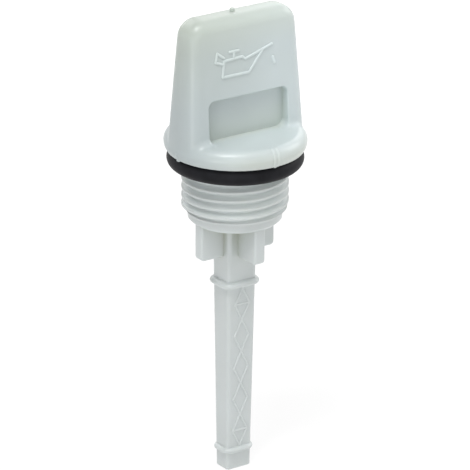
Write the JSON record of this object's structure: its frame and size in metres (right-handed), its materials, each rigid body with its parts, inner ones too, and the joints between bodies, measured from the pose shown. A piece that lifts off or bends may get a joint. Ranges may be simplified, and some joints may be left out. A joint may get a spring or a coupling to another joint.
{
  "type": "engine oil dipstick",
  "caption": "screw-in oil dipstick: flat finger grip on a round flange, rubber seal ring, coarse plastic thread, short fins and a slim tapering stick with a raised level lattice",
  "frame": {"origin": "on the thread's axis, in the plane of the flange's sealing face", "axes": "+Z along the thread's axis towards the grip, X across the grip's width, -Y towards the face with the oil-can symbol and the level lattice"},
  "size_m": [0.024, 0.024, 0.0824],
  "materials": {
    "body_plastic": "satin moulded plastic, pale grey",
    "seal_rubber": "black moulded rubber"
  },
  "bodies": {
    "root": {"dipstick_body": "body_plastic", "seal_ring": "seal_rubber"}
  },
  "joints": []
}
